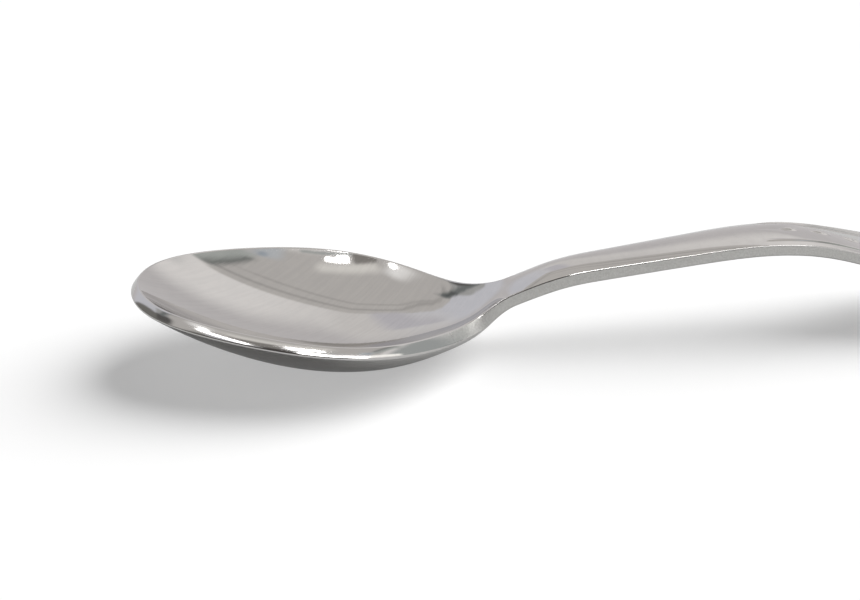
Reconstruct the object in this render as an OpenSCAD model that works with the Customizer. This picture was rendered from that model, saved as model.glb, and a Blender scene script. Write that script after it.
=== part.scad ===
// Teaspoon pressed from one sheet of polished stainless steel: bowl, neck, stem and ornamented handle.
// Every place on the spoon is given by s, the distance from the bowl's tip along the top face's middle line,
// by q, the share of the half width there, and by the height above that line, square to it.

/* [Bowl] */
// Length of the bowl along its rim, from the tip to the neck
bowl_l = 50; // [46:1:54]
// Width of the bowl between the inner edges of its rim
bowl_w = 31.3; // [27:0.1:35]
// Depth of the bowl below its rim
bowl_depth = 7; // [5:0.1:8]
// Thickness of the sheet in the bowl
bowl_t = 1.7; // [1.3:0.05:2]
// Thickness at the heel, where the bowl turns into the neck
heel_t = 2; // [1.5:0.05:2.4]
// Radius of the two corners of the bowl's rim
rim_round = 0.3; // [0.2:0.05:0.5]
// Angle in degrees by which the rim's edge turns to each side of square, as it bulges
rim_bulge_angle = 6; // [2:1:12]
// How far the hollow runs out past the bowl's length
hollow_past = 2; // [1:0.1:3]

/* [Neck] */
// Width of the neck at its narrowest
neck_w = 5.3; // [4.5:0.1:6.5]
// Thickness of the neck
neck_t = 1.8; // [1.4:0.05:2.4]
// Angle in degrees at which the neck rises from the bowl's rim
neck_angle = 28.2; // [22:0.1:34]
// Distance before the bowl's end at which the rim starts to bend up
bend_lead = 11.75; // [10:0.25:14]
// Length of that bend
bend_run = 10.4; // [9:0.1:12]
// Length from the bend's end to where the neck starts to level off
level_lead = 2.15; // [1:0.05:4]
// Length over which the neck levels off into the stem
level_run = 13.3; // [11:0.1:16]
// Length of the neck's own piece of the spoon
neck_l = 14; // [12:0.5:16]

/* [Stem] */
// Length of the stem, from the neck's piece to where the handle's ornament starts
stem_l = 18; // [14:1:24]
// Angle in degrees at which the stem rises from the bowl's rim
stem_angle = 15; // [11:0.1:18]
// Gain in half width for each unit of length of the stem
taper_share = 0.041; // [0.02:0.001:0.05]
// Length over which the neck's parallel sides turn into that taper
taper_lead = 3; // [1:0.5:6]
// Height of the crown along the middle of the stem's top face
crown = 0.85; // [0.3:0.05:1.1]
// Radius of the corners of the stem and handle
stem_round = 0.2; // [0.1:0.05:0.4]
// Angle in degrees by which the edge of the stem and handle turns to each side of square
stem_bulge_angle = 3; // [1:1:8]

/* [Handle] */
// Length of the ornamented handle
handle_l = 54; // [48:1:60]
// Width of the handle at its widest
handle_w = 17; // [14:0.5:20]
// Thickness of the stem and handle
handle_t = 1.6; // [1.3:0.05:2]
// Angle in degrees at which the handle's end falls from the line of the bowl's rim
tail_angle = 9; // [6:0.1:12]
// Length of the arch over which the stem turns down into the handle
arch_run = 34; // [28:1:40]
// Straight length at the handle's end
tail_run = 30; // [26:1:34]
// Length over which the handle widens
spread_run = 34; // [28:1:40]
// Length of the parallel stretch between the widening and the rounded end
wide_run = 2; // [0:0.5:6]
// Length of the handle's rounded end
end_run = 12; // [9:0.5:14]

/* [Ornament] */
// Distance of the thread's middle from the handle's edge
thread_in = 1.15; // [0.9:0.05:1.4]
// Half width of the thread
thread_r = 0.45; // [0.3:0.05:0.6]
// Height of the thread
thread_h = 0.16; // [0.08:0.02:0.24]
// Depth of the panel inside the thread
panel_cut = 0.14; // [0.06:0.02:0.2]
// Length of the panel's pointed start
panel_point = 6; // [4:0.5:9]
// Length of the first bellflower on the panel
flower_l = 3.4; // [2.6:0.1:4]
// Half width of the first bellflower
flower_r = 0.85; // [0.6:0.05:1.1]
// Distance between bellflowers
flower_pitch = 4.6; // [4:0.1:5.5]
// Height of the bellflowers
flower_h = 0.26; // [0.1:0.02:0.34]
// Radius of the shell across the handle
shell_r = 5.6; // [4.6:0.1:6.2]
// Distance of the shell's root from the handle's end
shell_back = 14.5; // [13:0.5:16]
// Height of the shell's ribs
shell_h = 0.34; // [0.14:0.02:0.44]

/* [Hidden] */

// Shape shares, without a unit
tip_share = 0.9;          // extra fullness of the outline at the tip
tip_power = 6;            // how fast that fullness fades
shoulder_power = 3.85;    // how late the outline turns in towards the neck
dish_tip_share = 0.3;     // extra steepness of the hollow at the tip
dish_power = 2.4;         // how late the hollow rises towards the neck
floor_share = 0.23;       // how much flatter the floor is than the wall
heel_from_share = 0.44;   // of the bowl's length, where the sheet starts to thicken
heel_to_share = 0.84;     // and where it is thickest
crown_from_share = 0.88;  // of the bowl's length, where the crown starts
flower_growth_share = 0.14;
flower_neck_share = 0.35; // width of a bellflower's stalk
flower_groove_share = 0.35;
shell_stretch_share = 1.45;  // length of the shell as a share of its width
shell_root_share = 0.22;     // plain root of the shell
shell_lip_share = 0.16;      // width of the shell's lip
shell_valley_share = 0.45;
shell_scallop_share = 0.08;
nudge_share = 0.0001;        // relative step for slopes

// Counts and the angle in degrees between ribs
flowers = 5;
ribs = 9;
rib_angle = 24;
samples = 400;
settle_rounds = 6;

// Stations along the middle line
bend_start = bowl_l - bend_lead;
bend_end = bend_start + bend_run;
level_start = bend_end + level_lead;
hollow_l = bowl_l + hollow_past;
neck_end = hollow_l + neck_l;
handle_start = neck_end + stem_l;
spoon_l = handle_start + handle_l;
arch_end = spoon_l - tail_run;
arch_start = arch_end - arch_run;
wide_end = spoon_l - end_run;
wide_start = wide_end - wide_run;
heel_start = heel_from_share*bowl_l;
heel_end = heel_to_share*bowl_l;
crown_start = crown_from_share*bowl_l;
crown_run = neck_l;
thin_run = arch_start + arch_run/4 - hollow_l;

// Facets
bowl_rows = 54;
neck_rows = 10;
stem_rows = 9;
handle_rows = 84;
top_cols = 13;            // on each side of the middle line
under_cols = 8;
handle_top_cols = 18;
handle_under_cols = 2;
corner_steps = 3;
line_steps = 552;
line_step = spoon_l/line_steps;

// Smooth step from 0 to 1 over a length, level at both ends
function ramp(x, start, run) =
    let (k = max(0, min(1, (x - start)/run)))
    k*k*k*(k*(6*k - 15) + 10);

// Smooth bump of height 1 at 0 that ends at 1
function bump(x) = abs(x) < 1 ? (1 - x*x)*(1 - x*x) : 0;

function unit(v) = v/norm(v);

function backwards(list) = [for (i = [len(list) - 1:-1:0]) list[i]];

// Side view: the middle line's angle, and its points, level at the bowl's rim
function line_angle(s) =
    neck_angle*ramp(s, bend_start, bend_run)
    + (stem_angle - neck_angle)*ramp(s, level_start, level_run)
    - (stem_angle + tail_angle)*ramp(s, arch_start, arch_run);

line_points = [
    for (i = 0, p = [0, 0];
         i <= line_steps;
         p = p + line_step*[cos(line_angle((i + 0.5)*line_step)), sin(line_angle((i + 0.5)*line_step))],
         i = i + 1)
    p];

function line_at(s) =
    let (i = min(line_steps - 1, floor(s/line_step)), k = s/line_step - i)
    line_points[i]*(1 - k) + line_points[i + 1]*k;

function place(s, y, h) =
    let (a = line_angle(s), p = line_at(s))
    [p.x - h*sin(a), y, p.y + h*cos(a)];

function turn(s, v) =
    let (a = line_angle(s))
    [v.x*cos(a) - v.z*sin(a), v.y, v.x*sin(a) + v.z*cos(a)];

// Plan view: half width of the top face
function oval(x) = sqrt(x*(1 + tip_share*pow(1 - x, tip_power)))*pow(1 - pow(x, shoulder_power), 2);

oval_list = [for (i = [0:samples]) oval(i/samples)];
oval_top = max(oval_list);
oval_top_at = search(oval_top, oval_list)[0]/samples;
oval_w = bowl_w/2 - neck_w/2*sqrt(oval_top_at);

function stem_half(s) =
    let (d = max(0, s - bowl_l))
    neck_w/2 + taper_share*d*d/(d + taper_lead);

function tail_half(s) =
    let (k = ramp(s, wide_start - spread_run, spread_run), e = max(0, s - wide_end)/end_run)
    (stem_half(s)*(1 - k) + handle_w/2*k)*sqrt(max(0, 1 - e*e));

function half_width(s) =
    s < bowl_l
        ? oval_w*oval(s/bowl_l)/oval_top + neck_w/2*sqrt(s/bowl_l)
        : tail_half(s);

// The hollow, as a share of its depth along the middle line
function dish(x) = x < 1 ? x*(1 + dish_tip_share*pow(1 - x, 4))*pow(1 - pow(x, dish_power), 2) : 0;

dish_top = max([for (i = [0:samples]) dish(i/samples)]);

function dish_at(s) = dish(s/hollow_l)/dish_top;

function sink(b) = -bowl_depth*b*(1 + floor_share*(1 - b));

function sink_slope(b) = -bowl_depth*(1 + floor_share - 2*floor_share*b);

function thickness(s) =
    bowl_t
    + (heel_t - bowl_t)*ramp(s, heel_start, heel_end - heel_start)
    + (neck_t - heel_t)*ramp(s, heel_end, hollow_l - heel_end)
    + (handle_t - neck_t)*ramp(s, hollow_l, thin_run);

// The edge: the share of the way from the bowl's rim to the stem, the corners' radius and the bulge
function to_stem(s) = ramp(s, bend_start, bend_run + level_lead);

function corner(s) = rim_round + (stem_round - rim_round)*to_stem(s);

function bulge(s) = rim_bulge_angle + (stem_bulge_angle - rim_bulge_angle)*to_stem(s);

// Places down the edge, as [outward, down] from the top face's edge, which meets it at the angle lean:
// upper corner, middle of the bulging side, lower corner
function edge_profile(s, lean) =
    let (c = corner(s), b = bulge(s), t = thickness(s),
         upper = [for (i = [1:corner_steps])
             let (a = lean + (90 - b - lean)*i/corner_steps)
             c*[sin(a) - sin(lean), cos(lean) - cos(a)]],
         lower = [for (i = [0:corner_steps - 1])
             let (a = 90 + b + (90 - b)*i/corner_steps)
             [c*sin(a), t - c*(1 + cos(a))]],
         side = lower[0] - upper[corner_steps - 1])
    concat(upper, [lower[0] - side/2 + [side.y/2*tan(b/2), 0]], lower);

// The rim's corners follow the outline in the bowl and on the handle, and lie square to the line in between
function follow(s) = 1 - ramp(s, bend_start, bend_run) + ramp(s, handle_start, handle_l/2);

// What a row of the surface needs, worked out once: s, half width, its slope, dish, its slope, thickness
function row_facts(s) =
    let (d = s*nudge_share)
    [s, half_width(s), (half_width(s + d) - half_width(s - d))/(2*d),
     dish_at(s), (dish_at(s + d) - dish_at(s - d))/(2*d), thickness(s)];

// Point and upward normal of the smooth top face, before any ornament
function face(r, q) =
    let (b = r[3]*(1 - q*q),
         slope = sink_slope(b),
         along = slope*(r[4]*(1 - q*q) + 2*r[3]*q*q*r[2]/r[1]),
         across = -slope*2*r[3]*q/r[1])
    [place(r[0], q*r[1], sink(b)), turn(r[0], unit([-along, -across, 1]))];

// The way through the sheet: square to its face in the bowl, and square to the middle line from the stem on
function way_up(s, normal) =
    let (k = to_stem(s))
    unit((1 - k)*normal + k*turn(s, [0, 0, 1]));

// Height of the crown along the middle line, which falls to nothing at the edges
function crown_at(s) =
    crown*ramp(s, crown_start, crown_run)*(1 - ramp(s, handle_start, handle_l/2));

// The crown and the handle's ornament, as a height above the smooth face
function edge_distance(r, q) =
    r[1]*(1 - q*q)/(2*norm([r[2], abs(q) + nudge_share]));

function thread(e) = thread_h*bump((e - thread_in)/thread_r);

function panel(s, y, e) =
    -panel_cut*ramp(e, thread_in + thread_r, thread_r)
    *ramp(s - 2*abs(y), handle_start, panel_point);

function flower(s, y, k) =
    let (grow = 1 + k*flower_growth_share,
         x = s - handle_start - panel_point - k*flower_pitch*(1 + k*flower_growth_share/4),
         long = x/(flower_l*grow),
         wide = y/(flower_r*grow*(flower_neck_share + (1 - flower_neck_share)*ramp(long, -0.5, 1))))
    flower_h*bump(min(1, 2*norm([long, wide/2])))*(1 - flower_groove_share*bump(3*wide));

function shell(s, y) =
    let (x = (s - (spoon_l - shell_back))/shell_stretch_share,
         rho = norm([x, y])/shell_r,
         around = atan2(y, x),
         inside = ramp(((ribs - 0.5)/2*rib_angle - abs(around))/rib_angle, 0, 0.4),
         rib = pow(cos(180*around/rib_angle), 2),
         rim = 1 - shell_scallop_share*(1 - rib))
    shell_h*inside*ramp(rho, shell_root_share, 0.5)*(1 - ramp(rho, rim - shell_lip_share, shell_lip_share))
    *(shell_valley_share + (1 - shell_valley_share)*rib);

function button(s, y) =
    shell_h*bump(norm([(s - (spoon_l - shell_back))/shell_stretch_share, y])/(shell_root_share*shell_r));

function relief(r, q) =
    let (s = r[0], y = q*r[1], e = edge_distance(r, q))
    crown_at(s)*(1 - q*q)
    + (s > handle_start
        ? ramp(s, handle_start, panel_point)*thread(e) + panel(s, y, e) + shell(s, y) + button(s, y)
          + max([for (k = [0:flowers - 1]) flower(s, y, k)])
        : 0);

function top_point(r, q) = let (f = face(r, q)) f[0] + relief(r, q)*f[1];

function under_point(r, q) = let (f = face(r, q)) f[0] - r[5]*way_up(r[0], f[1]);

// One side's edge, from the upper corner's first step to the lower corner's last
function edge_points(r, side) =
    let (f = face(r, side),
         up = way_up(r[0], f[1]),
         rim = turn(r[0], unit([1, side*r[2]*follow(r[0]), 0])),
         out = side*unit(cross(up, rim)),
         lean = atan2(f[1]*out, f[1]*up) + atan(2*crown_at(r[0])/r[1]))
    [for (e = edge_profile(r[0], lean)) f[0] + e.x*out - e.y*up];

// A closed ring of points round the spoon at one station
function ring(s, tops, unders) =
    let (r = row_facts(s))
    concat(
        [for (k = [-tops:tops]) top_point(r, k/tops)],
        edge_points(r, 1),
        [for (k = [unders:-1:-unders]) under_point(r, k/unders)],
        backwards(edge_points(r, -1)));

// The column of points at the tip, and at the handle's end, where both edges meet
tip_up = turn(0, unit([bowl_depth*(1 + floor_share)*(1 + dish_tip_share)/dish_top/hollow_l, 0, 1]));
tip_out = cross(tip_up, [0, 1, 0]);
end_up = turn(spoon_l, [0, 0, 1]);
end_out = turn(spoon_l, [1, 0, 0]);

function end_column(s, p, up, out) =
    concat([p], [for (e = edge_profile(s, 0)) p + e.x*out - e.y*up], [p - thickness(s)*up]);

tip_column = end_column(0, [0, 0, 0], tip_up, tip_out);
end_top = place(spoon_l, 0, 0);
tail_column = end_column(spoon_l, end_top, end_up, end_out);

// Resting: the spoon lies on its bowl and on its handle's end, and its bounding box is centred on X
keel_rows = samples/4;
bowl_keel = [for (i = [1:keel_rows]) under_point(row_facts(bowl_l*i/keel_rows), 0)];

function height(p, a) = p.x*sin(a) + p.z*cos(a);

function lowest(list, a) = min([for (p = list) height(p, a)]);

function foot(a) = bowl_keel[search(lowest(bowl_keel, a), [for (p = bowl_keel) height(p, a)])[0]];

function settle(a, rounds) =
    rounds < 1
        ? a
        : settle(a - asin((lowest(tail_column, a) - lowest(bowl_keel, a))/(end_top.x - foot(a).x)), rounds - 1);

rest_angle = settle(0, settle_rounds);
rest_height = lowest(bowl_keel, rest_angle);

function level(p) =
    [p.x*cos(rest_angle) - p.z*sin(rest_angle), p.y, height(p, rest_angle) - rest_height];

left = min([for (p = tip_column) level(p).x]);
right = max([for (p = tail_column) level(p).x]);

function seat(p) = level(p) - [(left + right)/2, 0, 0];

// Where a ring's point lies in an end column: its top, its edge or its under side
function column_index(j, tops, unders) =
    let (top_n = 2*tops + 1, edge_n = 2*corner_steps + 1, under_n = 2*unders + 1)
    j < top_n ? 0
    : j < top_n + edge_n ? j - top_n + 1
    : j < top_n + edge_n + under_n ? edge_n + 1
    : edge_n - (j - top_n - edge_n - under_n);

// Triangles between two rings of indices, leaving out those that a column makes flat
function skin(a, b) =
    [for (j = [0:len(a) - 1])
        let (k = (j + 1)%len(a))
        for (tri = [[a[j], b[j], b[k]], [a[j], b[k], a[k]]])
            if (tri[0] != tri[1] && tri[1] != tri[2] && tri[0] != tri[2]) tri];

// A piece of the spoon between two stations; a pointed end takes the column given
module stretch(stations, tops, unders, first, last) {
    rings = [for (s = stations) ring(s, tops, unders)];
    n = len(rings[0]);
    m = len(rings);
    points = concat([for (r = rings) each r], first, last);
    ring_ids = [for (i = [0:m - 1]) [for (j = [0:n - 1]) i*n + j]];
    first_ids = [for (j = [0:n - 1]) m*n + column_index(j, tops, unders)];
    last_ids = [for (j = [0:n - 1]) m*n + len(first) + column_index(j, tops, unders)];
    faces = concat(
        [for (i = [0:m - 2]) each skin(ring_ids[i], ring_ids[i + 1])],
        len(first) > 0 ? skin(first_ids, ring_ids[0]) : [ring_ids[0]],
        len(last) > 0 ? skin(ring_ids[m - 1], last_ids) : [backwards(ring_ids[m - 1])]);
    polyhedron([for (p = points) seat(p)], [for (f = faces) backwards(f)], convexity = 6);
}

function even(from, to, rows) = [for (i = [0:rows]) from + (to - from)*i/rows];

// Bowl with its rim, heel and hollow
module bowl() {
    color("gainsboro")
    stretch([for (i = [1:bowl_rows]) hollow_l*(1 - cos(90*i/bowl_rows))],
            top_cols, under_cols, tip_column, []);
}

// Neck, the narrowest and steepest stretch
module neck() {
    color("silver")
    stretch(even(hollow_l, neck_end, neck_rows), top_cols, under_cols, [], []);
}

// Plain stem with a crowned top
module stem() {
    color("lightgray")
    stretch(even(neck_end, handle_start, stem_rows), top_cols, under_cols, [], []);
}

// Handle with thread, panel, bellflowers and shell, and a rounded end
module handle() {
    body_rows = floor(handle_rows*(wide_end - handle_start)/handle_l);
    end_rows = handle_rows - body_rows;
    color("gainsboro")
    stretch(concat(even(handle_start, wide_end, body_rows),
                   [for (i = [1:end_rows - 1]) wide_end + end_run*sin(90*i/end_rows)]),
            handle_top_cols, handle_under_cols, [], tail_column);
}

bowl();
neck();
stem();
handle();
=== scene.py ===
import math

import bpy
import numpy as np
from mathutils import Matrix


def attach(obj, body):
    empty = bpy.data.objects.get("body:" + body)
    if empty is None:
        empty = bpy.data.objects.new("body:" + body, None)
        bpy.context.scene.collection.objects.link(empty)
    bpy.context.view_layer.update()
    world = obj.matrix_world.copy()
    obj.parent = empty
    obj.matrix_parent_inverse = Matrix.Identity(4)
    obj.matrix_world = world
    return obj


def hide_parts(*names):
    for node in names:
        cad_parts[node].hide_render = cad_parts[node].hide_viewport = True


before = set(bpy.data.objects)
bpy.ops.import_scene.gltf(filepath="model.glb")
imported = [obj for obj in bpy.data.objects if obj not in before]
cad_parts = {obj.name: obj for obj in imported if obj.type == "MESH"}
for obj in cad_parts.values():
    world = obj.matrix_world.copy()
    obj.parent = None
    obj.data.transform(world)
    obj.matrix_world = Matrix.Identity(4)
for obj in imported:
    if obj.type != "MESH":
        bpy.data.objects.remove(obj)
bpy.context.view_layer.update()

# Sizes of the spoon in millimetres, as in the part's source

bowl_l = 50.0
bowl_w = 31.3
bowl_depth = 7.0
bowl_t = 1.7
heel_t = 2.0
rim_round = 0.3
rim_bulge_angle = 6.0
hollow_past = 2.0
neck_w = 5.3
neck_t = 1.8
neck_angle = 28.2
bend_lead = 11.75
bend_run = 10.4
level_lead = 2.15
level_run = 13.3
neck_l = 14.0
stem_l = 18.0
stem_angle = 15.0
taper_share = 0.041
taper_lead = 3.0
crown = 0.85
stem_round = 0.2
stem_bulge_angle = 3.0
handle_l = 54.0
handle_w = 17.0
handle_t = 1.6
tail_angle = 9.0
arch_run = 34.0
tail_run = 30.0
spread_run = 34.0
wide_run = 2.0
end_run = 12.0
thread_in = 1.15
thread_r = 0.45
thread_h = 0.16
panel_cut = 0.14
panel_point = 6.0
flower_l = 3.4
flower_r = 0.85
flower_pitch = 4.6
flower_h = 0.26
shell_r = 5.6
shell_back = 14.5
shell_h = 0.34

tip_share = 0.9
tip_power = 6
shoulder_power = 3.85
dish_tip_share = 0.3
dish_power = 2.4
floor_share = 0.23
heel_from_share = 0.44
heel_to_share = 0.84
crown_from_share = 0.88
flower_growth_share = 0.14
flower_neck_share = 0.35
flower_groove_share = 0.35
shell_stretch_share = 1.45
shell_root_share = 0.22
shell_lip_share = 0.16
shell_valley_share = 0.45
shell_scallop_share = 0.08
nudge_share = 0.0001
flowers = 5
ribs = 9
rib_angle = 24.0
samples = 400
line_steps = 552

bend_start = bowl_l - bend_lead
bend_end = bend_start + bend_run
level_start = bend_end + level_lead
hollow_l = bowl_l + hollow_past
neck_end = hollow_l + neck_l
handle_start = neck_end + stem_l
spoon_l = handle_start + handle_l
arch_end = spoon_l - tail_run
arch_start = arch_end - arch_run
wide_end = spoon_l - end_run
wide_start = wide_end - wide_run
heel_start = heel_from_share * bowl_l
heel_end = heel_to_share * bowl_l
crown_start = crown_from_share * bowl_l
crown_run = neck_l
thin_run = arch_start + arch_run / 4 - hollow_l
metres = 0.001

# Mesh density: rows along the spoon, and steps on each side of the middle line and round each corner
bowl_rows = 240
neck_rows = 60
stem_rows = 70
handle_rows = 330
top_cols = 56
handle_top_cols = 76
under_cols = 30
corner_steps = 6
side_steps = 4


def ramp(x, start, run):
    k = np.clip((x - start) / run, 0, 1)
    return k * k * k * (k * (6 * k - 15) + 10)


def bump(x):
    return np.where(abs(x) < 1, (1 - x * x) ** 2, 0)


def unit(v):
    return v / np.linalg.norm(v, axis=-1, keepdims=True)


# Side view: the middle line's angle and its points

def line_angle(s):
    return np.radians(neck_angle * ramp(s, bend_start, bend_run)
                      + (stem_angle - neck_angle) * ramp(s, level_start, level_run)
                      - (stem_angle + tail_angle) * ramp(s, arch_start, arch_run))


line_step = spoon_l / line_steps
line_mid = (np.arange(line_steps) + 0.5) * line_step
line_s = np.arange(line_steps + 1) * line_step
line_x = np.concatenate([[0], np.cumsum(np.cos(line_angle(line_mid)))]) * line_step
line_z = np.concatenate([[0], np.cumsum(np.sin(line_angle(line_mid)))]) * line_step


def turn(s, x, y, z):
    a = line_angle(s)
    return np.stack([x * np.cos(a) - z * np.sin(a), y + 0 * a, x * np.sin(a) + z * np.cos(a)], -1)


def place(s, y, h):
    on_line = np.stack([np.interp(s, line_s, line_x), y + 0 * s, np.interp(s, line_s, line_z)], -1)
    return on_line + turn(s, 0, 0, h)


# Plan view: half width of the top face

def oval(x):
    x = np.clip(x, 0, 1)
    return np.sqrt(x * (1 + tip_share * (1 - x) ** tip_power)) * (1 - x ** shoulder_power) ** 2


oval_list = oval(np.arange(samples + 1) / samples)
oval_top = oval_list.max()
oval_w = bowl_w / 2 - neck_w / 2 * math.sqrt(oval_list.argmax() / samples)


def stem_half(s):
    d = np.maximum(0, s - bowl_l)
    return neck_w / 2 + taper_share * d * d / (d + taper_lead)


def tail_half(s):
    k = ramp(s, wide_start - spread_run, spread_run)
    e = np.maximum(0, s - wide_end) / end_run
    return (stem_half(s) * (1 - k) + handle_w / 2 * k) * np.sqrt(np.maximum(0, 1 - e * e))


def half_width(s):
    x = s / bowl_l
    bowl_half = oval_w * oval(x) / oval_top + neck_w / 2 * np.sqrt(np.clip(x, 0, 1))
    return np.where(s < bowl_l, bowl_half, tail_half(s))


# The hollow, the sheet's thickness and the corners

def dish(x):
    x = np.clip(x, 0, 1)
    return x * (1 + dish_tip_share * (1 - x) ** 4) * (1 - x ** dish_power) ** 2


dish_top = dish(np.arange(samples + 1) / samples).max()


def dish_at(s):
    return dish(s / hollow_l) / dish_top


def sink(b):
    return -bowl_depth * b * (1 + floor_share * (1 - b))


def sink_slope(b):
    return -bowl_depth * (1 + floor_share - 2 * floor_share * b)


def thickness(s):
    return (bowl_t
            + (heel_t - bowl_t) * ramp(s, heel_start, heel_end - heel_start)
            + (neck_t - heel_t) * ramp(s, heel_end, hollow_l - heel_end)
            + (handle_t - neck_t) * ramp(s, hollow_l, thin_run))


def to_stem(s):
    return ramp(s, bend_start, bend_run + level_lead)


def corner(s):
    return rim_round + (stem_round - rim_round) * to_stem(s)


def bulge(s):
    return np.radians(rim_bulge_angle + (stem_bulge_angle - rim_bulge_angle) * to_stem(s))


def edge_profile(s, lean):
    """Outward, down and the normal's angle down the edge, which the top face meets at the angle lean."""
    t, c, b = thickness(s), corner(s), bulge(s)
    quarter = math.pi / 2
    upper = [lean + (quarter - b - lean) * i / corner_steps for i in range(corner_steps + 1)]
    upper = [(c * (np.sin(a) - np.sin(lean)), c * (np.cos(lean) - np.cos(a)), a) for a in upper]
    lower = [quarter + b + (quarter - b) * i / corner_steps for i in range(corner_steps + 1)]
    lower = [(c * np.sin(a), t - c * (1 + np.cos(a)), a) for a in lower]
    across, down = lower[0][0] - upper[-1][0], lower[0][1] - upper[-1][1]
    side = []
    for i in range(1, side_steps):
        k = i / side_steps
        bulged = 2 * k * (1 - k) * down * np.tan(b / 2)
        side.append((upper[-1][0] + k * across + bulged, upper[-1][1] + k * down,
                     quarter + b * (2 * k - 1) - np.arctan2(across, down) * 4 * k * (1 - k)))
    return upper + side + lower


def follow(s):
    return 1 - ramp(s, bend_start, bend_run) + ramp(s, handle_start, handle_l / 2)


def slope_of(rule, s):
    d = s * nudge_share
    return (rule(s + d) - rule(s - d)) / (2 * d)


def face(s, q):
    """Point and upward normal of the smooth top face."""
    w, d = half_width(s), dish_at(s)
    b = d * (1 - q * q)
    along = sink_slope(b) * (slope_of(dish_at, s) * (1 - q * q) + 2 * d * q * q * slope_of(half_width, s) / w)
    across = -sink_slope(b) * 2 * d * q / w
    normal = unit(np.stack([-along, -across, 1 + 0 * along], -1))
    return place(s, q * w, sink(b)), turn(s, normal[..., 0], normal[..., 1], normal[..., 2])


# The crown and the ornament, as a height above the smooth face

def thread(e):
    return thread_h * bump((e - thread_in) / thread_r)


def panel(s, y, e):
    return (-panel_cut * ramp(e, thread_in + thread_r, thread_r)
            * ramp(s - 2 * abs(y), handle_start, panel_point))


def flower(s, y, k):
    grow = 1 + k * flower_growth_share
    x = s - handle_start - panel_point - k * flower_pitch * (1 + k * flower_growth_share / 4)
    long = x / (flower_l * grow)
    wide = y / (flower_r * grow * (flower_neck_share + (1 - flower_neck_share) * ramp(long, -0.5, 1)))
    return (flower_h * bump(np.minimum(1, 2 * np.hypot(long, wide / 2)))
            * (1 - flower_groove_share * bump(3 * wide)))


def shell(s, y):
    x = (s - (spoon_l - shell_back)) / shell_stretch_share
    rho = np.hypot(x, y) / shell_r
    around = np.degrees(np.arctan2(y, x))
    inside = ramp(((ribs - 0.5) / 2 * rib_angle - abs(around)) / rib_angle, 0, 0.4)
    rib = np.cos(np.radians(180 * around / rib_angle)) ** 2
    rim = 1 - shell_scallop_share * (1 - rib)
    lip = 1 - ramp(rho, rim - shell_lip_share, shell_lip_share)
    return (shell_h * inside * ramp(rho, shell_root_share, 0.5) * lip
            * (shell_valley_share + (1 - shell_valley_share) * rib))


def button(s, y):
    x = (s - (spoon_l - shell_back)) / shell_stretch_share
    return shell_h * bump(np.hypot(x, y) / (shell_root_share * shell_r))


def crown_at(s):
    return crown * ramp(s, crown_start, crown_run) * (1 - ramp(s, handle_start, handle_l / 2))


def relief(s, q):
    w = half_width(s)
    y = q * w
    e = w * (1 - q * q) / (2 * np.hypot(slope_of(half_width, s), abs(q) + nudge_share))
    plain = crown_at(s) * (1 - q * q)
    drawn = (ramp(s, handle_start, panel_point) * thread(e) + panel(s, y, e) + shell(s, y) + button(s, y)
             + np.max([flower(s, y, k) for k in range(flowers)], axis=0))
    return plain + np.where(s > handle_start, drawn, 0)


def top_point(s, q):
    point, normal = face(s, q)
    return point + relief(s, q)[..., None] * normal


def way_up(s, normal):
    """The way through the sheet: square to its face in the bowl, and to the middle line from the stem on."""
    k = to_stem(s)[..., None]
    return unit((1 - k) * normal + k * turn(s, 0, 0, 1))


def under_point(s, q):
    point, normal = face(s, q)
    return point - thickness(s)[..., None] * way_up(s, normal)


along_step = spoon_l * nudge_share / 4
across_step = 1 / samples / 10


def upward_normal(rule, s, q):
    """Upward normal of a face given by a rule for its points, from small steps along and across it."""
    d = np.minimum(along_step, np.minimum(s * nudge_share, (spoon_l - s) / 2))
    along = rule(s + d, q) - rule(s - d, q)
    across = rule(s, q + across_step) - rule(s, q - across_step)
    return unit(np.cross(along, across))


def edge_points(p, up, out, s, lean):
    """Points and normals down the sheet's edge, from the top face to the under face."""
    points, normals = [], []
    for across, down, a in edge_profile(s, lean):
        across, down, a = (np.asarray(v)[..., None] for v in (across, down, a))
        points.append(p + across * out - down * up)
        normals.append(np.cos(a) * up + np.sin(a) * out)
    return points, normals


# The end columns, and how the spoon rests

zero = np.array(0.0)
end_s = np.array(spoon_l)
tip_slope = bowl_depth * (1 + floor_share) * (1 + dish_tip_share) / dish_top / hollow_l
tip_up = unit(np.array([tip_slope, 0, 1]))
tip_column = edge_points(np.zeros(3), tip_up, np.cross(tip_up, [0, 1, 0]), zero, zero)
tail_column = edge_points(place(end_s, zero, 0), turn(end_s, 0, 0, 1), turn(end_s, 1, 0, 0), end_s, zero)


def settle():
    """The angle at which the bowl's keel and the handle's end touch the table, and their height there."""
    s = np.arange(1, samples // 4 + 1) / (samples // 4) * bowl_l
    keel = under_point(s, 0 * s)
    tail = np.array(tail_column[0])
    a = 0.0
    for _ in range(6):
        height = keel @ [math.sin(a), 0, math.cos(a)]
        gap = (tail @ [math.sin(a), 0, math.cos(a)]).min() - height.min()
        a -= math.asin(gap / (place(end_s, zero, 0)[0] - keel[height.argmin(), 0]))
    return a, (keel @ [math.sin(a), 0, math.cos(a)]).min()


rest_angle, rest_height = settle()
rest_turn = np.array([[math.cos(rest_angle), 0, -math.sin(rest_angle)],
                      [0, 1, 0],
                      [math.sin(rest_angle), 0, math.cos(rest_angle)]])
left = (np.array(tip_column[0]) @ rest_turn.T)[:, 0].min()
right = (np.array(tail_column[0]) @ rest_turn.T)[:, 0].max()
rest_shift = np.array([-(left + right) / 2, 0, -rest_height])


def seat(points):
    return (points @ rest_turn.T + rest_shift) * metres


# Meshes

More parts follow.
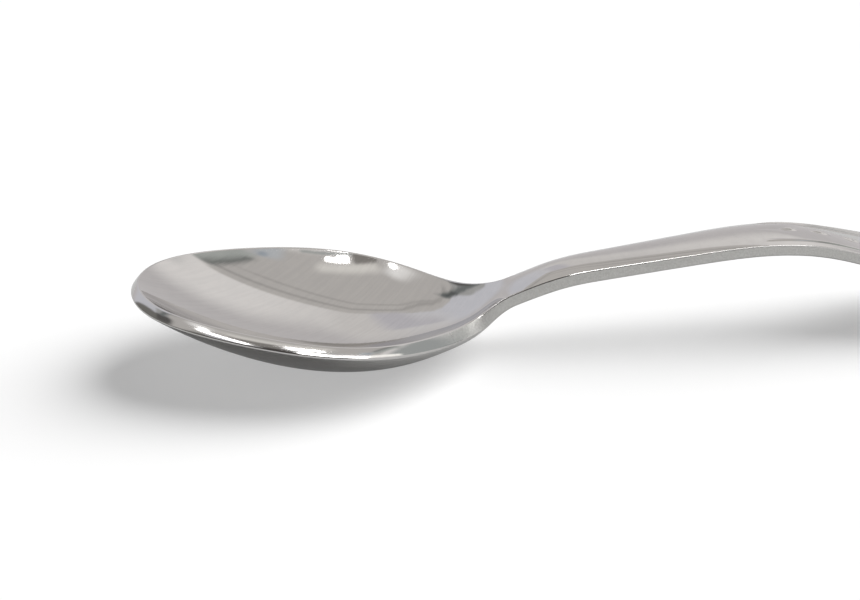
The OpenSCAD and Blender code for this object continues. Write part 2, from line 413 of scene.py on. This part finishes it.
def edge_share():
    """How much each point down the edge belongs to its side face: the corners stay polished."""
    rise = [max(0, 4 * i / corner_steps - 3) for i in range(corner_steps + 1)]
    return np.array(rise + [1] * (side_steps - 1) + rise[::-1])


def ring_rows(s, tops, unders):
    """Points, normals and pattern places of the closed rings round the spoon at the stations s.

    A place is the distance along the spoon, the distance across it and the share of the edge's side face.
    """
    top_q = np.linspace(-1, 1, 2 * tops + 1)
    under_q = np.linspace(1, -1, 2 * unders + 1)
    ss, qq = np.meshgrid(s, top_q, indexing="ij")
    top_p, top_n = top_point(ss, qq), upward_normal(top_point, ss, qq)
    ss, qq = np.meshgrid(s, under_q, indexing="ij")
    under_p, under_n = under_point(ss, qq), -upward_normal(under_point, ss, qq)
    sides = {}
    for side in (1, -1):
        p, normal = face(s, side + 0 * s)
        up = way_up(s, normal)
        rim = turn(s, 1, side * slope_of(half_width, s) * follow(s), 0)
        out = side * unit(np.cross(up, rim))
        lean = (np.arctan2((normal * out).sum(-1), (normal * up).sum(-1))
                + np.arctan(2 * crown_at(s) / half_width(s)))
        points, normals = edge_points(p, up, out, s, lean)
        sides[side] = (np.stack(points[1:-1], 1), np.stack(normals[1:-1], 1))
    flip = slice(None, None, -1)
    points = np.concatenate([top_p, sides[1][0], under_p, sides[-1][0][:, flip]], 1)
    normals = np.concatenate([top_n, sides[1][1], under_n, sides[-1][1][:, flip]], 1)
    w, one = half_width(s)[:, None], np.ones((len(s), 1))
    share = edge_share()[1:-1]
    across = np.concatenate([w * top_q, w + 0 * share, w * under_q, -w + 0 * share], 1)
    edge = np.concatenate([0 * top_q, share, 0 * under_q, share[::-1]]) * one
    return points, normals, np.stack([s[:, None] * np.ones(across.shape), across, edge], -1)


edge_n = 2 * corner_steps + side_steps - 1


def column_places(tops, unders):
    """Where each point of a ring lies in an end column."""
    down = list(range(1, edge_n + 1))
    return np.array([0] * (2 * tops + 1) + down + [edge_n + 1] * (2 * unders + 1) + down[::-1])


def stretch(name, s, tops, unders, first=None, last=None):
    """A piece of the spoon between two stations. A pointed end takes the column given, the others a cap."""
    points, normals, spots = ring_rows(np.asarray(s), tops, unders)
    m, n = points.shape[:2]
    verts, norms, spots = [points.reshape(-1, 3)], [normals.reshape(-1, 3)], [spots.reshape(-1, 3)]
    rings = list(np.arange(m * n).reshape(m, n))
    faces, caps = [], []
    start = m * n
    for column, at_start in ((first, True), (last, False)):
        if column is None:
            caps.append(rings[0] if at_start else rings[-1][::-1])
            continue
        verts.append(np.array(column[0]))
        norms.append(np.array(column[1]))
        share = edge_share()
        spots.append(np.stack([0 * share + (0 if at_start else spoon_l), 0 * share, share], -1))
        places = start + column_places(tops, unders)
        start += edge_n + 2
        rings = [places] + rings if at_start else rings + [places]
    rings = np.array(rings)
    a, b = rings[:-1], rings[1:]
    quads = np.stack([b, np.roll(b, -1, 1), np.roll(a, -1, 1), a], -1).reshape(-1, 4)
    for quad in quads:
        corners = list(dict.fromkeys(quad.tolist()))
        if len(corners) > 2:
            faces.append(corners)
    verts, norms = np.concatenate(verts), np.concatenate(norms) @ rest_turn.T
    mesh = bpy.data.meshes.new(name)
    mesh.from_pydata(seat(verts).tolist(), [], faces + [cap.tolist() for cap in caps])
    mesh.update()
    loops = np.zeros(len(mesh.loops), np.int32)
    mesh.loops.foreach_get("vertex_index", loops)
    loop_norms = norms[loops]
    for cap in list(mesh.polygons)[len(faces):]:
        for i in cap.loop_indices:
            loop_norms[i] = cap.normal
    mesh.shade_smooth()
    mesh.normals_split_custom_set(loop_norms.tolist())
    sheet = mesh.attributes.new("sheet", "FLOAT_VECTOR", "POINT")
    sheet.data.foreach_set("vector", np.concatenate(spots).astype(np.float32).ravel())
    piece = bpy.data.objects.new(name, mesh)
    bpy.context.collection.objects.link(piece)
    return piece


def even(start, end, rows):
    return np.linspace(start, end, rows + 1)


def make_spoon():
    bowl_turns = np.arange(1, bowl_rows + 1) / bowl_rows * math.pi / 2
    pointed = hollow_l * (1 - np.cos(bowl_turns))
    bowl = stretch("spoon_bowl", pointed, top_cols, under_cols, first=tip_column)
    neck = stretch("spoon_neck", even(hollow_l, neck_end, neck_rows), top_cols, under_cols)
    stem = stretch("spoon_stem", even(neck_end, handle_start, stem_rows), top_cols, under_cols)
    body_rows = int(handle_rows * (wide_end - handle_start) / handle_l)
    end_turns = np.arange(1, handle_rows - body_rows) / (handle_rows - body_rows) * math.pi / 2
    rounded = wide_end + end_run * np.sin(end_turns)
    stations = np.concatenate([even(handle_start, wide_end, body_rows), rounded])
    handle = stretch("spoon_handle", stations, handle_top_cols, under_cols, last=tail_column)
    return {"bowl": bowl, "neck": neck, "stem": stem, "handle": handle}


# Shader numbers

class Field:
    """A number that varies over a surface or with direction, worked out by Math nodes."""

    def __init__(self, tree, socket):
        self.tree, self.socket = tree, socket

    def math(self, operation, *values):
        node = self.tree.nodes.new("ShaderNodeMath")
        node.operation = operation
        for value, entry in zip(values, node.inputs):
            if isinstance(value, Field):
                self.tree.links.new(value.socket, entry)
            else:
                entry.default_value = value
        return Field(self.tree, node.outputs[0])

    def __add__(self, other):
        return self.math("ADD", self, other)

    def __radd__(self, other):
        return self.math("ADD", other, self)

    def __sub__(self, other):
        return self.math("SUBTRACT", self, other)

    def __rsub__(self, other):
        return self.math("SUBTRACT", other, self)

    def __mul__(self, other):
        return self.math("MULTIPLY", self, other)

    def __truediv__(self, other):
        return self.math("DIVIDE", self, other)

    def size(self):
        return self.math("ABSOLUTE", self)

    def least(self, other):
        return self.math("MINIMUM", self, other)

    def most(self, other):
        return self.math("MAXIMUM", self, other)

    def fade(self, start, end):
        """0 at start, 1 at end and smooth in between."""
        node = self.tree.nodes.new("ShaderNodeMapRange")
        node.interpolation_type = "SMOOTHSTEP"
        self.tree.links.new(self.socket, node.inputs["Value"])
        node.inputs["From Min"].default_value = start
        node.inputs["From Max"].default_value = end
        return Field(self.tree, node.outputs["Result"])


def mixed(tree, share, first, second):
    """A colour between two, each a socket or a constant."""
    node = tree.nodes.new("ShaderNodeMix")
    node.data_type = "RGBA"
    tree.links.new(share.socket, node.inputs["Factor"])
    for colour, entry in ((first, node.inputs[6]), (second, node.inputs[7])):
        if isinstance(colour, tuple):
            entry.default_value = (*colour, 1)
        else:
            tree.links.new(colour, entry)
    return node.outputs[2]


# Materials: the steel's colours, and the traces that its wheels and its use left on it

steel_colour = (0.61, 0.6, 0.585)
steel_dim = (0.575, 0.567, 0.556)
satin_colour = (0.64, 0.635, 0.615)
satin_dim = (0.55, 0.545, 0.525)

# The side faces turn from rubbed to satin at this distance from the tip, over the blend before and after it
satin_at = 39.5
satin_blend = 3.5
# The wheel's lines in the bowl cross the spoon at this angle
hatch_turn = 40.0

# Each pattern of the steel: how many times it changes in a millimetre with each of its places in turn, its
# detail and roughness, and the layer that keeps it apart from the others
hatch_noise = ((0.16, 2.4), 2, 0.5, 1.7)
drawn_noise = ((0.07, 4.5), 2, 0.5, 5.3)
grain_noise = ((4.6, 4, 0.2), 3, 0.65, 0)
nick_noise = ((1.1, 5), 4, 0.65, 9.2)
hair_noise = ((3.2, 0.05), 1, 0.5, 3.1)
cross_hair_noise = ((0.04, 2.6), 1, 0.5, 7.7)
hair_patch_noise = ((0.13, 0.13), 1, 0.5, 2.2)
cloud_noise = ((0.11, 0.13, 0.1), 3, 0.5, 0)
mottle_noise = ((0.8, 0.8, 0.8), 4, 0.6, 0)

# Where in its noise each trace sets in, from none to full
hair_fade = (0.72, 0.8)
cross_hair_fade = (0.73, 0.81)
hair_patch_fade = (0.45, 0.6)
tone_fade = (0.35, 0.65)

# How much the clouds and the mottle sway the colour, less of it in the bowl, and the wheel's lines too
cloud_sway = 0.5
bowl_cloud_sway = 0.25
hatch_sway = 0.5

# What each trace adds to the roughness, and its depth in millimetres
polish_rough = 0.03
cloud_rough = 0.03
line_rough = 0.02
hair_rough = 0.12
rubbed_rough = 0.01
nick_rough = 0.05
satin_rough = 0.3
grain_rough = 0.16
hatch_depth = 0.002
drawn_depth = 0.0006
grain_depth = 0.03
nick_depth = 0.0015
hair_depth = 0.0004
ripple_depth = 0.0006


def noise(tree, places, rates, detail, roughness, layer):
    """Noise from 0 to 1 that changes at these rates with its places. The layer counts where there are two."""
    spot = tree.nodes.new("ShaderNodeCombineXYZ")
    spot.inputs["Z"].default_value = layer
    for place_at, rate, entry in zip(places, rates, spot.inputs):
        tree.links.new((place_at * rate).socket, entry)
    node = tree.nodes.new("ShaderNodeTexNoise")
    tree.links.new(spot.outputs[0], node.inputs["Vector"])
    node.inputs["Scale"].default_value = 1
    node.inputs["Detail"].default_value = detail
    node.inputs["Roughness"].default_value = roughness
    return Field(tree, node.outputs[0])


def split(tree, vector):
    """The three numbers of a vector."""
    parts = tree.nodes.new("ShaderNodeSeparateXYZ")
    tree.links.new(vector, parts.inputs[0])
    return [Field(tree, entry) for entry in parts.outputs]


def polished_steel():
    """Mirror polish with the traces of its wheels, on satin side faces and a rubbed rim."""
    steel = bpy.data.materials.new("polished_steel")
    steel.use_nodes = True
    tree = steel.node_tree
    shader = tree.nodes["Principled BSDF"]
    sheet = tree.nodes.new("ShaderNodeAttribute")
    sheet.attribute_name = "sheet"
    along, across, edge = split(tree, sheet.outputs["Vector"])
    spot = tree.nodes.new("ShaderNodeTexCoord").outputs["Object"]
    height = split(tree, spot)[2] * (1 / metres)

    satin = edge * along.fade(satin_at - satin_blend, satin_at + satin_blend)
    rubbed = edge * (1 - satin)
    bowl = along.fade(hollow_l, hollow_l - neck_l)
    inside = bowl * (1 - edge)

    a = math.radians(hatch_turn)
    with_hatch = along * math.cos(a) + across * math.sin(a)
    over_hatch = across * math.cos(a) - along * math.sin(a)
    hatched, flat, solid = (with_hatch, over_hatch), (along, across), (along, across, height)
    hatch = noise(tree, hatched, *hatch_noise) * inside
    drawn = noise(tree, flat, *drawn_noise) * (1 - bowl) * (1 - edge)
    grain = noise(tree, (along, height, across), *grain_noise)
    nicks = noise(tree, (along, height), *nick_noise)
    hairs = noise(tree, hatched, *hair_noise).fade(*hair_fade)
    hairs = hairs.most(noise(tree, hatched, *cross_hair_noise).fade(*cross_hair_fade))
    hairs = hairs * noise(tree, flat, *hair_patch_noise).fade(*hair_patch_fade) * (1 - edge)
    cloud = noise(tree, solid, *cloud_noise)
    mottle = noise(tree, solid, *mottle_noise)

    roughness = polish_rough + cloud * cloud_rough + (hatch + drawn) * line_rough + hairs * hair_rough
    roughness = roughness + rubbed * (rubbed_rough + nicks * nick_rough)
    roughness = roughness + satin * (satin_rough + grain * grain_rough)
    tree.links.new(roughness.socket, shader.inputs["Roughness"])

    tone = (cloud + mottle) * (cloud_sway + bowl * (bowl_cloud_sway - cloud_sway)) + hatch * hatch_sway
    colour = mixed(tree, tone.fade(*tone_fade), steel_dim, steel_colour)
    colour = mixed(tree, satin, colour, mixed(tree, grain.fade(*tone_fade), satin_dim, satin_colour))
    tree.links.new(colour, shader.inputs["Base Color"])
    shader.inputs["Metallic"].default_value = 1

    relief_height = (hatch * hatch_depth + drawn * drawn_depth + satin * grain * grain_depth
                     + rubbed * nicks * nick_depth - hairs * hair_depth + mottle * inside * ripple_depth)
    bumps = tree.nodes.new("ShaderNodeBump")
    bumps.inputs["Distance"].default_value = metres
    tree.links.new(relief_height.socket, bumps.inputs["Height"])
    tree.links.new(bumps.outputs[0], shader.inputs["Normal"])
    return steel


# Camera, where the photograph was taken from

view_up_deg = 25.0
view_turn_deg = 8.0
view_distance = 160.0
aim_s = 23.0
focal_px = 1200.0
tip_px = (139.9, 281.1)
image_px = (860, 600)
sensor_w = 36.0


def make_camera():
    """A camera turned as above that shows the spoon's tip at its pixel."""
    e, t = math.radians(view_up_deg), math.radians(view_turn_deg)
    right_way = np.array([math.cos(t), -math.sin(t), 0])
    look = np.array([math.sin(t) * math.cos(e), math.cos(t) * math.cos(e), -math.sin(e)])
    up_way = np.cross(right_way, look)
    # The tip is where the middle line starts, so the shift of the rest pose is its place
    tip_depth = view_distance - aim_s * look[0]
    place_at = (rest_shift - look * tip_depth
                - right_way * (tip_px[0] - image_px[0] / 2) / focal_px * tip_depth
                + up_way * (tip_px[1] - image_px[1] / 2) / focal_px * tip_depth)
    data = bpy.data.cameras.new("camera")
    data.sensor_width = sensor_w
    data.lens = sensor_w * focal_px / image_px[0]
    data.clip_start = 0.01
    camera = bpy.data.objects.new("camera", data)
    camera.location = place_at * metres
    turned = np.stack([right_way, up_way, -look], 1)
    camera.rotation_mode = "QUATERNION"
    camera.rotation_quaternion = Matrix(turned.tolist()).to_quaternion()
    bpy.context.collection.objects.link(camera)
    bpy.context.scene.camera = camera


# Studio: a white floor and the surroundings that the steel mirrors, with a ceiling, walls, lamps and the
# dark things round the camera. The camera itself sees plain white past the floor.
# A direction's place on the chart is its way over the floor divided by one plus its height, so that 0 is
# overhead and 1 the horizon, with X along the spoon and Y away from the camera.

def shown(red, green, blue):
    """The light that the steel shows as this screen colour."""
    linear = [((v / 255 + 0.055) / 1.055) ** 2.4 for v in (red, green, blue)]
    return tuple(v / k for v, k in zip(linear, steel_colour))


def card(x, y, middle, turned, half, blur):
    """A soft-edged rectangle on the chart."""
    a = math.radians(turned)
    u = (x - middle[0]) * math.cos(a) + (y - middle[1]) * math.sin(a)
    v = (y - middle[1]) * math.cos(a) - (x - middle[0]) * math.sin(a)
    return (u.size().fade(half[0] + blur / 2, half[0] - blur / 2)
            * v.size().fade(half[1] + blur / 2, half[1] - blur / 2))


def left_of(x, y, start, end):
    """Distance on the chart from a line, positive on its left."""
    dx, dy = end[0] - start[0], end[1] - start[1]
    length = math.hypot(dx, dy)
    return (y - start[1]) * (dx / length) - (x - start[0]) * (dy / length)


# A fade below is the stretch of the chart over which something comes in, from none to full. It counts along X
# or Y, toward the camera for the near side, or to the left of a line.

# The walls from the tip's side to the handle's, each with its fade along X
first_wall = shown(184, 183, 187)
next_walls = (
    ((-0.2, 0.02), shown(189, 185, 182)),
    ((0.05, 0.12), shown(199, 195, 192)),
    ((0.12, 0.28), shown(206, 202, 199)),
)

# The far wall, which starts further off over the bowl than over the handle
far_wall = shown(175, 171, 170)
far_wall_fade = (0.28, 0.56)
far_wall_step = 0.22
far_wall_step_fade = (0.12, 0.02)

# The near side, round the camera, with its dark end past a line, and the wall past the handle's end, which
# fades out on both sides
near_side = shown(182, 180, 178)
near_side_fade = (0.24, 0.34)
near_end = shown(100, 98, 94)
near_end_line = ((-0.62, -0.78), (-0.27, -0.12))
near_end_line_fade = (-0.05, 0.08)
near_end_fade = (0, 0.08)
end_wall = shown(150, 152, 150)
end_wall_fade = (0.36, 0.42)
end_wall_side_fade = (0.25, 0.12)

# The dark wall past the tip, on the left of either line, and under it a paler patch, placed as a card is
tip_wall = shown(106, 104, 100)
tip_wall_lines = (((-0.31, -0.2), (-0.535, 0.07)), ((-0.535, 0.07), (-0.645, 0.385)))
tip_wall_fade = (-0.02, 0.025)
tip_patch = shown(152, 151, 149)
tip_patch_place = ((-0.366, -0.02), -50, (0.17, 0.07), 0.06)

# The ceiling past the lines between its corners, its border's width, and the border's own third side
ceiling_colour = shown(171, 167, 163)
ceiling_corners = ((0.3, 0.04), (0.03, 0.2), (-0.1, 0.214), (-0.23, 0.085))
ceiling_fade = (-0.052, -0.034)
ceiling_end_fade = (0.36, 0.33)
ceiling_front_fade = (-0.25, -0.2)
border_w = 0.055
border_side = ((-0.125, 0.155), (-0.3, 0.045))
# The dark lines along the ceiling's edge and its border: half widths, and how dark each gets
line_colour = shown(100, 98, 95)
line_front_fade = (-0.05, 0.01)
edge_line_w = 0.016
edge_line_share = 0.32
border_line_w = 0.014
border_line_share = 0.24

# Things seen in the surroundings: middle, turn in degrees, half sizes and blur on the chart, and their colour
# or, for a lamp, its light
cards = (
    ((-0.51, -0.05), 40, (0.06, 0.09), 0.06, shown(82, 80, 78)),
    ((-0.37, 0.037), 17, (0.13, 0.026), 0.04, shown(104, 106, 105)),
    ((-0.31, 0.052), 17, (0.05, 0.014), 0.04, shown(80, 82, 81)),
    ((-0.055, 0.36), 0, (0.04, 0.12), 0.05, shown(174, 171, 174)),
    ((0.335, -0.06), 72, (0.1, 0.02), 0.03, shown(156, 158, 154)),
    ((0.322, -0.04), 72, (0.085, 0.006), 0.03, shown(84, 86, 84)),
    ((0.27, -0.19), 0, (0.03, 0.04), 0.04, shown(169, 171, 173)),
    ((0.281, -0.165), 0, (0.008, 0.014), 0.02, shown(140, 147, 154)),
    ((0.03, -0.66), 0, (0.22, 0.36), 0.08, shown(60, 57, 56)),
    ((-0.26, -0.7), 0, (0.22, 0.42), 0.08, shown(66, 62, 60)),
    ((-0.02, -0.135), 0, (0.14, 0.03), 0.06, shown(202, 198, 192)),
    ((-0.235, -0.1), 30, (0.05, 0.04), 0.06, shown(216, 213, 210)),
    ((-0.11, -0.21), 0, (0.062, 0.045), 0.025, shown(122, 118, 114)),
    ((0.07, -0.228), 0, (0.12, 0.008), 0.014, shown(150, 152, 149)),
    ((-0.065, -0.285), -4, (0.055, 0.04), 0.02, shown(66, 62, 60)),
    ((0.004, -0.196), 0, (0.026, 0.018), 0.012, (24, 24, 24)),
    ((0.05, -0.19), -6, (0.034, 0.01), 0.012, (20, 20, 20)),
    ((-0.215, -0.205), -30, (0.078, 0.017), 0.015, (7, 7, 7)),
    ((-0.232, -0.134), 0, (0.013, 0.013), 0.012, (9, 9, 9)),
    ((0.06, -0.296), -18, (0.072, 0.034), 0.015, (12, 12, 12)),
    ((0.21, -0.296), 16, (0.1, 0.034), 0.015, (9, 9, 9)),
    ((0.38, -0.19), 34, (0.1, 0.024), 0.03, (1.6, 1.58, 1.52)),
)

# The least that one plus a direction's height counts for, which keeps the chart finite straight down
least_up = 0.05
# The softbox: its lean from overhead, its turn, to the handle's end and slightly behind, and its width
softbox_lean = math.radians(45)
softbox_turn = math.radians(-75)
softbox_width = math.radians(56)
# The floor's half side in metres, its own tone, and the light that it adds where it is seen or mirrored
floor_half = 3.0
floor_tone = 0.61
seen_glow = 0.41
mirrored_glow = 0.1


def make_world():
    """The surroundings, drawn by direction. They don't light the floor."""
    world = bpy.data.worlds.new("studio")
    world.use_nodes = True
    tree = world.node_tree
    dx, dy, dz = split(tree, tree.nodes.new("ShaderNodeTexCoord").outputs["Generated"])
    up = (dz + 1).most(least_up)
    x, y = dx / up, dy / up

    # The walls, each over the ones before it
    colour = first_wall
    for wall_fade, wall in next_walls:
        colour = mixed(tree, x.fade(*wall_fade), colour, wall)
    far = (y - x.fade(*far_wall_step_fade) * far_wall_step).fade(*far_wall_fade)
    colour = mixed(tree, far, colour, far_wall)
    colour = mixed(tree, (0 - y).fade(*near_side_fade), colour, near_side)
    past_handle = x.fade(*end_wall_fade) * y.size().fade(*end_wall_side_fade)
    colour = mixed(tree, past_handle, colour, end_wall)
    behind = left_of(x, y, *near_end_line).fade(*near_end_line_fade) * (0 - y).fade(*near_end_fade)
    colour = mixed(tree, behind, colour, near_end)
    colour = mixed(tree, card(x, y, *tip_patch_place), colour, tip_patch)
    past_tip = left_of(x, y, *tip_wall_lines[0]).most(left_of(x, y, *tip_wall_lines[1]))
    colour = mixed(tree, past_tip.fade(*tip_wall_fade), colour, tip_wall)

    # The ceiling, with a dark line along its edge and one along its border
    sides = [left_of(x, y, a, b) for a, b in zip(ceiling_corners, ceiling_corners[1:])]
    ceiling = sides[0].least(sides[1])
    border = (ceiling - border_w).least(left_of(x, y, *border_side))
    ceiling = ceiling.least(sides[2])
    inside = ceiling.fade(*ceiling_fade) * x.fade(*ceiling_end_fade) * y.fade(*ceiling_front_fade)
    colour = mixed(tree, inside, colour, ceiling_colour)
    edge_line = ceiling.size().fade(edge_line_w, 0) * edge_line_share
    border_line = border.size().fade(border_line_w, 0) * border_line_share
    lines = edge_line.most(border_line) * y.fade(*line_front_fade)
    colour = mixed(tree, lines, colour, line_colour)

    for *place_at, light in cards:
        colour = mixed(tree, card(x, y, *place_at), colour, light)
    path = tree.nodes.new("ShaderNodeLightPath")
    colour = mixed(tree, Field(tree, path.outputs["Is Camera Ray"]), colour, (1, 1, 1))
    tree.links.new(colour, tree.nodes["Background"].inputs["Color"])
    bpy.context.scene.world = world
    world.cycles_visibility.diffuse = False


def make_softbox():
    """The broad light for the floor's white and the spoon's shadow, which the steel doesn't mirror."""
    light = bpy.data.lights.new("softbox", "SUN")
    light.energy = math.pi / math.cos(softbox_lean)
    light.angle = softbox_width
    softbox = bpy.data.objects.new("softbox", light)
    softbox.rotation_euler = (-softbox_lean, 0, softbox_turn)
    softbox.visible_glossy = False
    bpy.context.collection.objects.link(softbox)


def make_floor():
    """A wide white floor that adds light of its own where the camera or the steel sees it."""
    mesh = bpy.data.meshes.new("floor")
    corners = [(-floor_half, -floor_half, 0), (floor_half, -floor_half, 0),
               (floor_half, floor_half, 0), (-floor_half, floor_half, 0)]
    mesh.from_pydata(corners, [], [(0, 1, 2, 3)])
    floor = bpy.data.objects.new("floor", mesh)
    bpy.context.collection.objects.link(floor)
    white = bpy.data.materials.new("floor_white")
    white.use_nodes = True
    tree = white.node_tree
    shader = tree.nodes["Principled BSDF"]
    shader.inputs["Base Color"].default_value = (floor_tone, floor_tone, floor_tone, 1)
    shader.inputs["Roughness"].default_value = 1
    shader.inputs["Specular IOR Level"].default_value = 0
    path = tree.nodes.new("ShaderNodeLightPath")
    seen, glossy, through = (Field(tree, path.outputs[f"Is {kind} Ray"])
                             for kind in ("Camera", "Glossy", "Transmission"))
    glow = (seen * seen_glow).most(glossy.most(through) * mirrored_glow)
    shader.inputs["Emission Color"].default_value = (1, 1, 1, 1)
    tree.links.new(glow.socket, shader.inputs["Emission Strength"])
    mesh.materials.append(white)


steel = polished_steel()
for node, piece in make_spoon().items():
    piece.data.materials.append(steel)
    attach(piece, "root")
    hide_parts(node)
make_camera()
make_floor()
make_world()
make_softbox()
bpy.context.scene.view_settings.view_transform = "Standard"
